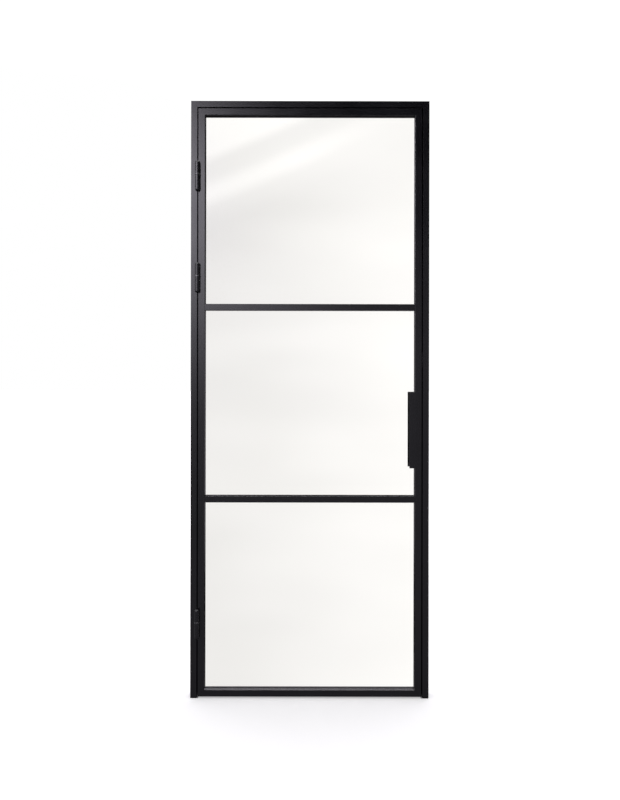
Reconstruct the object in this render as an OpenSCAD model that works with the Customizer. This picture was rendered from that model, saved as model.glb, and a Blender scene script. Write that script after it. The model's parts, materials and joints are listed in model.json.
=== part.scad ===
// Aluminium interior door in its three-sided frame.
// X runs along the width with the hinges on the left, Y runs from the pull side to the push side, Z is up.
// The origin lies on the floor, in the middle of the width and of the whole depth.
// Sections are drawn in s (from a member's outer edge inwards) and v (from the flush front face backwards).

/* [Leaf] */
// Width of the door leaf
leaf_w = 880; // [730:5:1030]
// Height of the door leaf
leaf_h = 2315; // [2015:5:2515]
// Thickness of the door leaf
leaf_t = 40; // [38:1:48]
// Face width of the stiles and rails
leaf_face = 26; // [24:1:34]
// Width of the closed tube in the stiles and rails
tube_w = 13; // [12:0.5:15]
// Wall of the extrusions
wall = 1.8; // [1.4:0.1:2.2]
// Rounding along the outer edges of the extrusions
edge_r = 0.8; // [0.4:0.1:1.2]

/* [Glazing] */
// Number of panes above each other
pane_count = 3; // [3]
// How far the upper bar sits below an equal division of the leaf
upper_bar_drop = 6; // [0:1:20]
// Face width of a glazing bar
bar_face = 25; // [22:1:32]
// Thickness of a glazing bar's web between two panes
bar_web = 7; // [6.5:0.5:9]
// Depth of the fixed lip in front of the glass
lip_depth = 20; // [16:1:22]
// Thickness of the laminated glass
glass_t = 6.4; // [5:0.2:7.4]
// How far the glass reaches behind the lip
glass_bite = 6.5; // [5:0.5:7]
// Thickness of the glazing tape in front of the glass and behind it
tape_t = 2; // [1.5:0.25:2.5]
// Width of the glazing tape
tape_w = 5.5; // [4:0.5:5.5]
// How far the tape stays back from the sight line
tape_back = 0.5; // [0.3:0.1:1]
// Wall of the clip-in glazing beads
bead_wall = 1.4; // [1:0.1:1.6]
// Width and thickness of the rib that holds a bead
hook_t = 1; // [0.8:0.1:1.2]
// Play between a bead's nib and its rib
hook_play = 0.15; // [0.1:0.05:0.2]
// Length of a setting block under the glass
block_len = 60; // [40:5:100]
// Distance from a pane's edge to its setting block
block_inset = 80; // [60:5:150]

/* [Frame] */
// Face width of the jambs and head
frame_face = 25; // [22:1:40]
// Gap between leaf and frame at the sides and the top
side_gap = 4; // [3.5:0.5:6]
// Gap under the leaf
floor_gap = 6; // [5:1:15]
// Depth from the leaf's back to the stop, filled by the seal
seal_gap = 4; // [3:0.5:6]
// How far the stop reaches behind the leaf
stop_cover = 10; // [9:0.5:10.5]
// Depth of the stop
stop_depth = 16; // [14:1:24]
// Width of the groove that holds the seal
groove_w = 3; // [2.5:0.5:3.5]
// Depth of the groove that holds the seal
groove_depth = 3.5; // [3:0.5:5]
// Distance from the leaf's edge line to the seal groove
groove_inset = 1.5; // [1:0.25:2]
// Play between the seal and its groove
seal_play = 0.1; // [0.05:0.05:0.2]
// Room left between the seal's bulb and the closed leaf
seal_room = 0.3; // [0.2:0.1:0.6]
// How much wider the seal's bulb is than its groove
bulb_extra = 1.2; // [1:0.1:1.5]
// Rounding of the seal's bulb
bulb_r = 1.2; // [0.8:0.1:1.4]
// Radius of the bore in the seal's bulb
bulb_bore_r = 0.9; // [0.6:0.1:1]
// Thickness of the plug under each jamb
foot_t = 4; // [3:0.5:5]
// Height of the spigot that holds a plug in its jamb
foot_spigot_h = 14; // [8:1:25]
// Chamfer under the plug's inner edge
foot_chamfer = 2.5; // [1:0.5:2.5]

/* [Corner cleats] */
// Length of a cleat's arms in the leaf
leaf_cleat_arm = 70; // [50:5:90]
// Length of a cleat's arms in the frame
frame_cleat_arm = 90; // [60:5:110]
// Wall left around the pockets of a cleat
cleat_web = 3; // [2:0.5:3.5]
// Play between a cleat and its tube
cleat_play = 0.1; // [0.05:0.05:0.2]

/* [Hinges] */
// Outer radius of the hinge knuckles
knuckle_r = 9.5; // [8.5:0.25:11]
// Outer radius of the bearing ring between the knuckles
ring_r = 10.25; // [9.5:0.25:12]
// Height of the bearing ring
ring_h = 5; // [3:0.5:8]
// Length of the lower knuckle on the jamb
lower_len = 62; // [52:1:80]
// Length of the upper knuckle on the leaf
upper_len = 50; // [46:1:70]
// Rounding of the knuckles' outer ends
tip_r = 6; // [4:0.5:7]
// Radius of the hinge pin
pin_r = 5; // [4:0.25:6]
// Depth of the pin in the lower knuckle
pin_down = 44; // [30:1:46]
// Height of the pin in the upper knuckle
pin_up = 34; // [24:1:36]
// Running play between the pin and the upper knuckle
pin_play = 0.05; // [0.02:0.01:0.08]
// Play of the fixed pin in the lower knuckle
pin_seat = 0.02; // [0.01:0.01:0.03]
// Room between the bearing ring and the face of the door
ring_room = 0.5; // [0.4:0.1:1]
// Room between a hinge flag and the member across the gap
flag_room = 1; // [0.8:0.1:1.5]
// How far a hinge flag reaches into the gap from the front face
flag_reach = 31; // [28:1:34]
// Corner rounding of the hinge flags
flag_corner = 4; // [2:0.5:6]
// How far a flag stays back from the ends of its knuckle
flag_margin = 4; // [3:0.5:5]
// Distance from a flag's edges to its screws
flag_screw_edge = 8; // [7:0.5:9]
// Height of the lowest hinge's bearing above the floor
low_hinge_z = 298; // [200:1:400]
// Distance from the leaf's top to the second hinge's bearing
mid_hinge_drop = 664; // [500:1:800]
// Distance from the leaf's top to the top hinge's bearing
top_hinge_drop = 265; // [180:1:350]
// Thickness of the tapped plates behind the hinge screws
backer_t = 4; // [3:0.5:5]
// Corner rounding of the tapped plates
backer_corner = 2; // [1:0.5:3]

/* [Handles] */
// Length of the pull handles
handle_len = 298; // [200:1:400]
// Height of the handles' middle above the floor
handle_z = 1056; // [950:1:1150]
// How far a handle stands out from the leaf
handle_reach = 13; // [12:0.5:20]
// Thickness of the handle section
handle_t = 5; // [5:0.5:6]
// How far the grip reaches over the glass
grip_over = 23; // [20:1:35]
// Rounding of the handles' edges
handle_r = 1; // [0.5:0.1:1.5]
// Rounding in the finger side of the grip
grip_fillet = 2.5; // [1:0.5:3]
// Room between the push-side handle and the stop
handle_room = 1; // [0.8:0.1:1.5]
// Distance between the handle's bolts
bolt_pitch = 110; // [80:5:140]
// Tapped depth for the bolts in the pull-side handle
tap_depth = 4; // [3:0.5:4]
// Room between a bolt's end and the bottom of its hole
bolt_end_room = 0.5; // [0.3:0.1:1]

/* [Catch] */
// Radius of the catch magnet in the lock stile
magnet_r = 8; // [6:0.5:10]
// Depth of the catch magnet
magnet_depth = 8; // [6:0.5:9]
// Height of the catch above the floor
catch_z = 1330; // [1250:5:1400]
// Thickness of the steel keeper plate on the jamb
keeper_t = 2; // [1.5:0.25:2]
// Height of the keeper plate
keeper_h = 64; // [60:2:90]
// Depth of the keeper plate
keeper_depth = 22; // [20:1:26]
// Distance from the keeper plate's ends to its screws
keeper_screw_edge = 8; // [7:0.5:10]

/* [Screws and fixings] */
// Radius of the countersunk screws and of the handle bolts
screw_r = 2; // [1.75:0.25:2.25]
// Head radius of the countersunk screws and bolts
screw_head_r = 3.9; // [3.5:0.1:4]
// Length of the hinge and keeper screws
screw_len = 10; // [9:0.5:11]
// Radial play round a screw
screw_play = 0.1; // [0.05:0.05:0.15]
// Head radius of the screws that hold the bars
bar_screw_head_r = 3.5; // [3:0.25:4]
// Head height of the screws that hold the bars
bar_screw_head_h = 2.4; // [2:0.2:3]
// Depth that a bar screw reaches into the bar
bar_screw_grip = 20; // [15:1:30]
// Wall round the screw port in a bar's nose
port_wall = 1.6; // [1.2:0.1:2]
// Radius of the driver holes for the bar screws in the leaf's edges
driver_hole_r = 4.5; // [4:0.25:5]
// Radius of the wall fixing holes in the frame
fixing_r = 3.25; // [2.5:0.25:4]
// Radius of the driver holes opposite the wall fixings
fixing_access_r = 7; // [6:0.5:8]
// Distance of the outer pair of wall fixings from the floor and from the frame's top
fixing_end = 150; // [100:5:200]
// Heights of the inner pair of wall fixings in each jamb
fixing_inner = [850, 1450]; // [700:5:1550]
// Distance between the two fixings in the head
fixing_head = 600; // [300:10:650]

/* [Hidden] */
$fn = 64;
frame_w = leaf_w + 2 * (side_gap + frame_face);
leaf_top = floor_gap + leaf_h;
frame_h = leaf_top + side_gap + frame_face;
stop_v = leaf_t + seal_gap;
frame_depth = stop_v + stop_depth;
stop_end = frame_face + side_gap + stop_cover;
groove_s = frame_face + side_gap + groove_inset;
jamb_x = leaf_w / 2 + side_gap;
fixing_v = leaf_t / 2;
fixing_outer = [fixing_end, frame_h - fixing_end];

rebate = leaf_face - tube_w;
bar_rebate = (bar_face - bar_web) / 2;
clear_w = leaf_w - 2 * leaf_face;
equal_h = (leaf_h - 2 * leaf_face - (pane_count - 1) * bar_face) / pane_count;
glass_v = lip_depth + tape_t;
bead_v = glass_v + glass_t + tape_t;
hook_v = leaf_t - bead_wall - 3 * hook_t - 2 * hook_play;
rib_room = 2 * hook_t + hook_play;
web_port_v = (lip_depth + hook_v) / 2;
nose_port_v = lip_depth / 2;
port_r = screw_r + screw_play;

hinge_x = -(leaf_w / 2 + side_gap / 2);
hinge_v = -(ring_r + ring_room);
hinge_heights = [low_hinge_z, leaf_top - mid_hinge_drop, leaf_top - top_hinge_drop];
flag_t = side_gap - flag_room;
lower_flag = [-lower_len + tip_r + flag_margin, -flag_margin];
upper_flag = [ring_h + flag_margin, ring_h + upper_len - tip_r - flag_margin];
backer_v = flag_corner;

handle_root = stop_cover + handle_room;
bolt_s = handle_root + handle_t;
head_h = screw_head_r - screw_r;
catch_v = leaf_t / 2;
keeper_screw_z = keeper_h / 2 - keeper_screw_edge;

front_most = hinge_v - ring_r;
depth_mid = (frame_depth + front_most) / 2;
past = 1;

coat = [0.09, 0.09, 0.1];
black_rubber = [0.05, 0.05, 0.05];
bare_aluminium = [0.72, 0.73, 0.75];
bright_steel = [0.62, 0.62, 0.64];

// Heights of the panes and bars
function bar_drop(i) = i == pane_count - 1 ? upper_bar_drop : 0;
function pane_z(i) = floor_gap + leaf_face + i * (equal_h + bar_face) - bar_drop(i);
function pane_h(i) = equal_h + bar_drop(i) - bar_drop(i + 1);
function bar_z(i) = pane_z(i) - bar_face / 2;
function sill_rebate(i) = i == 0 ? rebate : bar_rebate;
function head_rebate(i) = i == pane_count - 1 ? rebate : bar_rebate;
function bolt_heights() = [for (i = [-1 : 1]) handle_z + i * bolt_pitch];

// Places drawing in the part's own frame, with the flush front face behind the hinges
module placed() {
    translate([0, -depth_mid, 0])
        children();
}

// A rectangle with round corners, made of true arcs
module rounded_rect(w, d, r) {
    translate([r, 0])
        square([w - 2 * r, d]);
    translate([0, r])
        square([w, d - 2 * r]);
    for (x = [r, w - r], y = [r, d - r])
        translate([x, y])
            circle(r);
}

// Turns an outline in X and Z into a prism between two depths
module prism_xz(from, to) {
    translate([0, to, 0])
        rotate([90, 0, 0])
            linear_extrude(to - from)
                children();
}

// Turns an outline in depth and Z into a plate along X
module plate_yz(from, to) {
    translate([from, 0, 0])
        rotate([90, 0, 90])
            linear_extrude(to - from)
                children();
}

// A round bar along X
module bar_x(from, to, r) {
    translate([from, 0, 0])
        rotate([0, 90, 0])
            cylinder(h = to - from, r = r);
}

// A round bar along the depth
module bar_y(from, to, r) {
    translate([0, from, 0])
        rotate([-90, 0, 0])
            cylinder(h = to - from, r = r);
}

// A countersunk screw that points along +X with its head's face at zero
module countersunk_x(len, play) {
    rotate([0, 90, 0]) {
        cylinder(h = len, r = screw_r + play);
        cylinder(h = head_h, r1 = screw_head_r + play, r2 = screw_r + play);
    }
}

// Section of the jambs and head: a tube with a hollow stop and a groove for the seal
module frame_section() {
    difference() {
        union() {
            rounded_rect(frame_face, frame_depth, edge_r);
            translate([frame_face - wall, stop_v])
                rounded_rect(stop_end - frame_face + wall, stop_depth, edge_r);
        }
        translate([wall, wall])
            square([frame_face - 2 * wall, frame_depth - 2 * wall]);
        difference() {
            translate([frame_face, stop_v + wall])
                square([stop_end - frame_face - wall, stop_depth - 2 * wall]);
            translate([groove_s - wall, stop_v])
                square([groove_w + 2 * wall, groove_depth + wall]);
        }
        translate([groove_s, stop_v - past])
            square([groove_w, groove_depth + past]);
    }
}

// Section of the stop's seal: a root in the groove and a hollow bulb against the leaf
module seal_section() {
    bulb_w = groove_w + bulb_extra;
    bulb_d = seal_gap - seal_room;
    translate([groove_s + seal_play, stop_v - edge_r])
        square([groove_w - 2 * seal_play, groove_depth - seal_play + edge_r]);
    translate([groove_s + groove_w / 2 - bulb_w / 2, leaf_t + seal_room])
        difference() {
            rounded_rect(bulb_w, bulb_d, bulb_r);
            translate([bulb_w / 2, bulb_d / 2])
                circle(bulb_bore_r);
        }
}

// Keeps what lies on the hinge jamb's side of its mitre
module jamb_mitre() {
    reach = stop_end + past;
    prism_xz(-past, frame_depth + past)
        polygon([
            [-frame_w / 2, 0],
            [-frame_w / 2 + reach, 0],
            [-frame_w / 2 + reach, frame_h - reach],
            [-frame_w / 2, frame_h]
        ]);
}

// Keeps what lies on the head's side of both mitres
module head_mitre() {
    reach = stop_end + past;
    prism_xz(-past, frame_depth + past)
        polygon([
            [-frame_w / 2, frame_h],
            [-frame_w / 2 + reach, frame_h - reach],
            [frame_w / 2 - reach, frame_h - reach],
            [frame_w / 2, frame_h]
        ]);
}

module along_hinge_jamb() {
    intersection() {
        translate([-frame_w / 2, 0, foot_t])
            linear_extrude(frame_h - foot_t)
                children();
        jamb_mitre();
    }
}

module along_head() {
    intersection() {
        translate([-frame_w / 2, 0, frame_h])
            rotate([0, 90, 0])
                linear_extrude(frame_w)
                    children();
        head_mitre();
    }
}

// Wall fixings through the hinge jamb: a small hole to the wall and a driver hole opposite
module jamb_fixing_cuts() {
    for (z = concat(fixing_outer, fixing_inner))
        translate([0, fixing_v, z]) {
            bar_x(-frame_w / 2 - past, -frame_w / 2 + wall + past, fixing_r);
            bar_x(-jamb_x - wall - past, -jamb_x + past, fixing_access_r);
        }
}

// The three screws of a hinge flag, as depth and height
function flag_screws(flag) = [
    [flag_screw_edge, flag[0] + flag_screw_edge],
    [flag_screw_edge, flag[1] - flag_screw_edge],
    [flag_reach - flag_screw_edge, (flag[0] + flag[1]) / 2]
];

// Plain holes along X for every flag screw of one hinge half
module flag_screw_holes(flag, from, to) {
    for (z = hinge_heights, p = flag_screws(flag))
        translate([0, p[0], z + p[1]])
            bar_x(from, to, port_r);
}

module keeper_screw_places() {
    for (side = [-1, 1])
        translate([0, catch_v, catch_z + side * keeper_screw_z])
            children();
}

module hinge_jamb() {
    color(coat)
        placed()
            difference() {
                along_hinge_jamb()
                    frame_section();
                jamb_fixing_cuts();
                flag_screw_holes(lower_flag, -jamb_x - wall - past, -jamb_x + past);
            }
}

module strike_jamb() {
    color(coat)
        placed()
            difference() {
                mirror([1, 0, 0])
                    difference() {
                        along_hinge_jamb()
                            frame_section();
                        jamb_fixing_cuts();
                    }
                keeper_screw_places()
                    bar_x(jamb_x - past, jamb_x + wall + past, port_r);
            }
}

module head_jamb() {
    color(coat)
        placed()
            difference() {
                along_head()
                    frame_section();
                for (side = [-1, 1])
                    translate([side * fixing_head / 2, fixing_v, frame_h]) {
                        translate([0, 0, -wall - past])
                            cylinder(h = wall + 2 * past, r = fixing_r);
                        translate([0, 0, -frame_face - past])
                            cylinder(h = wall + 2 * past, r = fixing_access_r);
                    }
            }
}

// A corner cleat in X and Z: two arms with pockets, its outer corner at the origin, arms to +X and -Z
module cleat_outline(arm, thick) {
    pocket = thick - 2 * cleat_web;
    pocket_len = (arm - thick - 2 * cleat_web) / 2;
    difference() {
        polygon([[0, 0], [arm, 0], [arm, -thick], [thick, -thick], [thick, -arm], [0, -arm]]);
        for (i = [0 : 1]) {
            start = thick + i * (pocket_len + cleat_web);
            translate([start, -thick + cleat_web])
                square([pocket_len, pocket]);
            translate([cleat_web, -start - pocket_len])
                square([pocket, pocket_len]);
        }
    }
}

module frame_cleat() {
    inset = wall + cleat_play;
    translate([-frame_w / 2 + inset, 0, frame_h - inset])
        prism_xz(inset, frame_depth - inset)
            cleat_outline(frame_cleat_arm, frame_face - 2 * inset);
}

module frame_cleat_hinge_side() {
    color(bare_aluminium)
        placed()
            frame_cleat();
}

module frame_cleat_strike_side() {
    color(bare_aluminium)
        placed()
            mirror([1, 0, 0])
                frame_cleat();
}

// A plate between two depths, with a chamfer under the edge that faces the doorway
module foot_plate(w, from, to) {
    intersection() {
        translate([0, from, 0])
            linear_extrude(foot_t)
                rounded_rect(w, to - from, edge_r);
        prism_xz(from, to)
            polygon([[0, 0], [w - foot_chamfer, 0], [w, foot_chamfer], [w, foot_t], [0, foot_t]]);
    }
}

// The plug under a jamb: a plate of the jamb's outline with a spigot in its tube
module jamb_foot() {
    inset = wall + cleat_play;
    translate([-frame_w / 2, 0, 0]) {
        foot_plate(frame_face, 0, frame_depth);
        foot_plate(stop_end, stop_v, frame_depth);
        difference() {
            translate([inset, inset, 0])
                cube([frame_face - 2 * inset, frame_depth - 2 * inset, foot_t + foot_spigot_h]);
            translate([2 * inset, 2 * inset, foot_t])
                cube([frame_face - 4 * inset, frame_depth - 4 * inset, foot_spigot_h + past]);
        }
    }
}

module hinge_jamb_foot() {
    color(black_rubber)
        placed()
            jamb_foot();
}

module strike_jamb_foot() {
    color(black_rubber)
        placed()
            mirror([1, 0, 0])
                jamb_foot();
}

module hinge_jamb_seal() {
    color(black_rubber)
        placed()
            along_hinge_jamb()
                seal_section();
}

module strike_jamb_seal() {
    color(black_rubber)
        placed()
            mirror([1, 0, 0])
                along_hinge_jamb()
                    seal_section();
}

module head_seal() {
    color(black_rubber)
        placed()
            along_head()
                seal_section();
}

// Half outline of a knuckle from its flat end at zero up to its rounded tip
module knuckle_outline(len) {
    square([knuckle_r, len - tip_r]);
    square([knuckle_r - tip_r, len]);
    translate([knuckle_r - tip_r, len - tip_r])
        intersection() {
            circle(tip_r);
            square(tip_r);
        }
}

// A hinge flag in depth and height, from the hinge axis into the gap
module flag_outline(flag) {
    translate([hinge_v, flag[0]])
        rounded_rect(flag_reach - hinge_v, flag[1] - flag[0], flag_corner);
}

// The lower half of a hinge, on the jamb, with its bearing face at height zero
module frame_knuckle(z) {
    color(coat)
        placed()
            translate([0, 0, z])
                difference() {
                    union() {
                        translate([hinge_x, hinge_v, 0])
                            mirror([0, 0, 1])
                                rotate_extrude()
                                    knuckle_outline(lower_len);
                        plate_yz(-jamb_x, -jamb_x + flag_t)
                            flag_outline(lower_flag);
                    }
                    translate([hinge_x, hinge_v, -pin_down])
                        cylinder(h = pin_down + past, r = pin_r + pin_seat);
                    for (p = flag_screws(lower_flag))
                        translate([-jamb_x + flag_t, p[0], p[1]])
                            mirror([1, 0, 0])
                                countersunk_x(screw_len, screw_play);
                }
}

// The upper half of a hinge, on the leaf, standing on the bearing ring
module leaf_knuckle(z) {
    color(coat)
        placed()
            translate([0, 0, z])
                difference() {
                    union() {
                        translate([hinge_x, hinge_v, ring_h])
                            rotate_extrude()
                                knuckle_outline(upper_len);
                        plate_yz(-leaf_w / 2 - flag_t, -leaf_w / 2)
                            flag_outline(upper_flag);
                    }
                    translate([hinge_x, hinge_v, ring_h - past])
                        cylinder(h = pin_up + 2 * past, r = pin_r + pin_play);
                    for (p = flag_screws(upper_flag))
                        translate([-leaf_w / 2 - flag_t, p[0], p[1]])
                            countersunk_x(screw_len, screw_play);
                }
}

module frame_knuckle_low() {
    frame_knuckle(hinge_heights[0]);
}

module frame_knuckle_mid() {
    frame_knuckle(hinge_heights[1]);
}

module frame_knuckle_top() {
    frame_knuckle(hinge_heights[2]);
}

module leaf_knuckle_low() {
    leaf_knuckle(hinge_heights[0]);
}

module leaf_knuckle_mid() {
    leaf_knuckle(hinge_heights[1]);
}

module leaf_knuckle_top() {
    leaf_knuckle(hinge_heights[2]);
}

module hinge_pins() {
    color(bright_steel)
        placed()
            for (z = hinge_heights)
                translate([hinge_x, hinge_v, z - pin_down])
                    cylinder(h = pin_down + ring_h + pin_up, r = pin_r);
}

module bearing_rings() {
    color(bright_steel)
        placed()
            for (z = hinge_heights)
                translate([hinge_x, hinge_v, z])
                    difference() {
                        rotate_extrude()
                            rounded_rect_half(ring_r, ring_h, edge_r);
                        translate([0, 0, -past])
                            cylinder(h = ring_h + 2 * past, r = pin_r + pin_play);
                    }
}

// Half outline of a disc with round rims
module rounded_rect_half(r, h, rim) {
    square([r - rim, h]);
    translate([0, rim])
        square([r, h - 2 * rim]);
    for (y = [rim, h - rim])
        translate([r - rim, y])
            circle(rim);
}

// A tapped plate behind a hinge flag's screws
module backer(flag, from) {
    plate_yz(from, from + backer_t)
        difference() {
            translate([backer_v, flag[0]])
                rounded_rect(flag_reach - backer_v, flag[1] - flag[0], backer_corner);
            for (p = flag_screws(flag))
                translate([p[0], p[1]])
                    circle(port_r);
        }
}

module frame_hinge_backers() {
    color(bright_steel)
        placed()
            for (z = hinge_heights)
                translate([0, 0, z])
                    backer(lower_flag, -jamb_x - wall - backer_t);
}

module leaf_hinge_backers() {
    color(bright_steel)
        placed()
            for (z = hinge_heights)
                translate([0, 0, z])
                    backer(upper_flag, -leaf_w / 2 + wall);
}

module frame_screws() {
    color(bright_steel)
        placed() {
            for (z = hinge_heights, p = flag_screws(lower_flag))
                translate([-jamb_x + flag_t, p[0], z + p[1]])
                    mirror([1, 0, 0])
                        countersunk_x(screw_len, 0);
            keeper_screw_places()
                translate([jamb_x - keeper_t, 0, 0])
                    countersunk_x(screw_len, 0);
        }
}

module leaf_screws() {
    color(bright_steel)
        placed()
            for (z = hinge_heights, p = flag_screws(upper_flag))
                translate([-leaf_w / 2 - flag_t, p[0], z + p[1]])
                    countersunk_x(screw_len, 0);
}

module catch_keeper() {
    color(bright_steel)
        placed()
            difference() {
                plate_yz(jamb_x - keeper_t, jamb_x)
                    translate([catch_v - keeper_depth / 2, catch_z - keeper_h / 2])
                        rounded_rect(keeper_depth, keeper_h, flag_corner);
                keeper_screw_places()
                    translate([jamb_x - keeper_t, 0, 0])
                        countersunk_x(screw_len, screw_play);
            }
}

module catch_magnet() {
    color(bright_steel)
        placed()
            translate([0, catch_v, catch_z])
                bar_x(leaf_w / 2 - magnet_depth, leaf_w / 2, magnet_r);
}

// The rib that a glazing bead clips on, drawn from the floor of the rebate
module bead_hook() {
    translate([-edge_r, hook_v])
        square([hook_t + edge_r, hook_t]);
    translate([hook_t, hook_v])
        square([hook_t, 2 * hook_t + hook_play]);
}

// Section of a clip-in bead, drawn from the floor of the rebate to the sight line
module bead_section(w) {
    nib_from = hook_v + hook_t + hook_play;
    difference() {
        translate([0, bead_v])
            rounded_rect(w, leaf_t - bead_v, edge_r / 2);
        translate([-past, bead_v + bead_wall])
            square([w - bead_wall + past, leaf_t - bead_v - 2 * bead_wall]);
    }
    translate([hook_play, nib_from])
        square([hook_t - 2 * hook_play, leaf_t - bead_wall / 2 - nib_from]);
}

// Section of the stiles and rails: a tube, a hollow lip in front of the glass and a rib for the bead
module leaf_section() {
    difference() {
        union() {
            rounded_rect(tube_w, leaf_t, edge_r);
            rounded_rect(leaf_face, lip_depth, edge_r);
            translate([tube_w, 0])
                bead_hook();
        }
        translate([wall, wall])
            square([tube_w - 2 * wall, leaf_t - 2 * wall]);
        translate([tube_w, wall])
            square([leaf_face - tube_w - wall, lip_depth - 2 * wall]);
    }
}

// Keeps what lies between the mitres at both ends of a member that starts at the origin along +Z
module stile_mitre(len) {
    reach = leaf_face + past;
    prism_xz(-past, leaf_t + past)
        polygon([[0, 0], [reach, reach], [reach, len - reach], [0, len]]);
}

// A mitred leaf member along +Z with its outer edge at X zero
module leaf_member(len) {
    intersection() {
        linear_extrude(len)
            leaf_section();
        stile_mitre(len);
    }
}

// Cuts for the bar screws in a stile: shank holes and driver holes
module bar_screw_cuts() {
    for (i = [1 : pane_count - 1], v = [nose_port_v, web_port_v])
        translate([0, v, bar_z(i)]) {
            bar_x(-leaf_w / 2 + wall + past, -leaf_w / 2 + leaf_face + past, port_r);
            bar_x(-leaf_w / 2 - past, -leaf_w / 2 + wall + past, driver_hole_r);
        }
}

module hinge_stile() {
    color(coat)
        placed()
            difference() {
                translate([-leaf_w / 2, 0, floor_gap])
                    leaf_member(leaf_h);
                bar_screw_cuts();
                flag_screw_holes(upper_flag, -leaf_w / 2 - past, -leaf_w / 2 + wall + past);
            }
}

// Holes for the handle bolts between two depths
module bolt_holes(from, to, r) {
    for (z = bolt_heights())
        translate([leaf_w / 2 - bolt_s, 0, z])
            bar_y(from, to, r);
}

module lock_stile() {
    color(coat)
        placed()
            difference() {
                mirror([1, 0, 0])
                    difference() {
                        translate([-leaf_w / 2, 0, floor_gap])
                            leaf_member(leaf_h);
                        bar_screw_cuts();
                    }
                bolt_holes(-past, leaf_t + past, port_r);
                translate([0, catch_v, catch_z])
                    bar_x(leaf_w / 2 - wall - past, leaf_w / 2 + past, magnet_r + screw_play);
            }
}

module top_rail() {
    color(coat)
        placed()
            translate([-leaf_w / 2, 0, leaf_top])
                rotate([0, 90, 0])
                    leaf_member(leaf_w);
}

module bottom_rail() {
    color(coat)
        placed()
            translate([leaf_w / 2, 0, floor_gap])
                rotate([0, -90, 0])
                    leaf_member(leaf_w);
}

// Section of a bar's nose: a tube as deep as the lip, with a port for the end screws
module bar_nose_section() {
    difference() {
        translate([-bar_face / 2, 0])
            rounded_rect(bar_face, lip_depth, edge_r);
        difference() {
            translate([-bar_face / 2 + wall, wall])
                square([bar_face - 2 * wall, lip_depth - 2 * wall]);
            translate([0, nose_port_v])
                circle(port_r + port_wall);
            translate([-wall / 2, wall])
                square([wall, lip_depth - 2 * wall]);
        }
        translate([0, nose_port_v])
            circle(port_r);
    }
}

// Section of a bar's web between two panes, with a rib for a bead on each side
module bar_web_section() {
    difference() {
        union() {
            translate([-bar_web / 2, lip_depth - wall / 2])
                square([bar_web, leaf_t - lip_depth + wall / 2]);
            for (side = [0, 1])
                mirror([side, 0])
                    translate([bar_web / 2, 0])
                        bead_hook();
        }
        translate([0, web_port_v])
            circle(port_r);
    }
}

// The room that a bar may fill between two depths over a given length
module bar_zone(from, to, len) {
    translate([-bar_face, from, -len / 2])
        cube([2 * bar_face, to - from, len]);
}

// A glazing bar: the nose butts against the stiles' lips, the web runs on to their tubes, notched for the ribs
module glazing_bar(i) {
    web_len = leaf_w - 2 * tube_w;
    color(coat)
        placed()
            translate([0, 0, bar_z(i)])
                rotate([0, 90, 0]) {
                    translate([0, 0, -clear_w / 2])
                        linear_extrude(clear_w)
                            bar_nose_section();
                    intersection() {
                        translate([0, 0, -web_len / 2])
                            linear_extrude(web_len)
                                bar_web_section();
                        union() {
                            bar_zone(0, leaf_t, clear_w);
                            bar_zone(lip_depth, leaf_t, web_len - 2 * rib_room);
                            bar_zone(lip_depth, hook_v - hook_play, web_len);
                        }
                    }
                }
}

module lower_bar() {
    glazing_bar(1);
}

module upper_bar() {
    glazing_bar(2);
}

// One end screw of a bar along +X, with its head inside the stile's tube
module bar_screw(len) {
    bar_x(-bar_screw_head_h, 0, bar_screw_head_r);
    bar_x(-bar_screw_head_h, len, screw_r);
}

module bar_screws() {
    head_s = tube_w - wall;
    color(bright_steel)
        placed()
            for (side = [0, 1], i = [1 : pane_count - 1])
                mirror([side, 0, 0])
                    translate([-leaf_w / 2 + head_s, 0, bar_z(i)]) {
                        translate([0, nose_port_v, 0])
                            bar_screw(leaf_face - head_s + bar_screw_grip);
                        translate([0, web_port_v, 0])
                            bar_screw(tube_w - head_s + bar_screw_grip);
                    }
}

module glass_pane(i) {
    color([0.85, 0.92, 0.9, 0.35])
        placed()
            translate([-clear_w / 2 - glass_bite, glass_v, pane_z(i) - glass_bite])
                cube([clear_w + 2 * glass_bite, glass_t, pane_h(i) + 2 * glass_bite]);
}

module glass_low() {
    glass_pane(0);
}

module glass_mid() {
    glass_pane(1);
}

module glass_top() {
    glass_pane(2);
}

// A ring of glazing tape round a pane, between two depths
module tape_ring(i, from) {
    edge = tape_back + tape_w;
    color(black_rubber)
        placed()
            prism_xz(from, from + tape_t)
                difference() {
                    translate([-clear_w / 2 - edge, pane_z(i) - edge])
                        square([clear_w + 2 * edge, pane_h(i) + 2 * edge]);
                    translate([-clear_w / 2 - tape_back, pane_z(i) - tape_back])
                        square([clear_w + 2 * tape_back, pane_h(i) + 2 * tape_back]);
                }
}

module front_tape_low() {
    tape_ring(0, lip_depth);
}

module front_tape_mid() {
    tape_ring(1, lip_depth);
}

module front_tape_top() {
    tape_ring(2, lip_depth);
}

module rear_tape_low() {
    tape_ring(0, glass_v + glass_t);
}

module rear_tape_mid() {
    tape_ring(1, glass_v + glass_t);
}

module rear_tape_top() {
    tape_ring(2, glass_v + glass_t);
}

// A bead along +Z over the whole width of the rebate, notched at its ends for the stiles' ribs
module level_bead(w) {
    len = leaf_w - 2 * tube_w;
    notch_v = hook_v - hook_play;
    difference() {
        linear_extrude(len)
            bead_section(w);
        for (z = [-past, len - rib_room])
            translate([-past, notch_v, z])
                cube([w + 2 * past, leaf_t - bead_wall - notch_v, rib_room + past]);
    }
}

// The bead under a pane
module bead_sill(i) {
    color(coat)
        placed()
            translate([leaf_w / 2 - tube_w, 0, pane_z(i) - sill_rebate(i)])
                rotate([0, -90, 0])
                    level_bead(sill_rebate(i));
}

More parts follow.
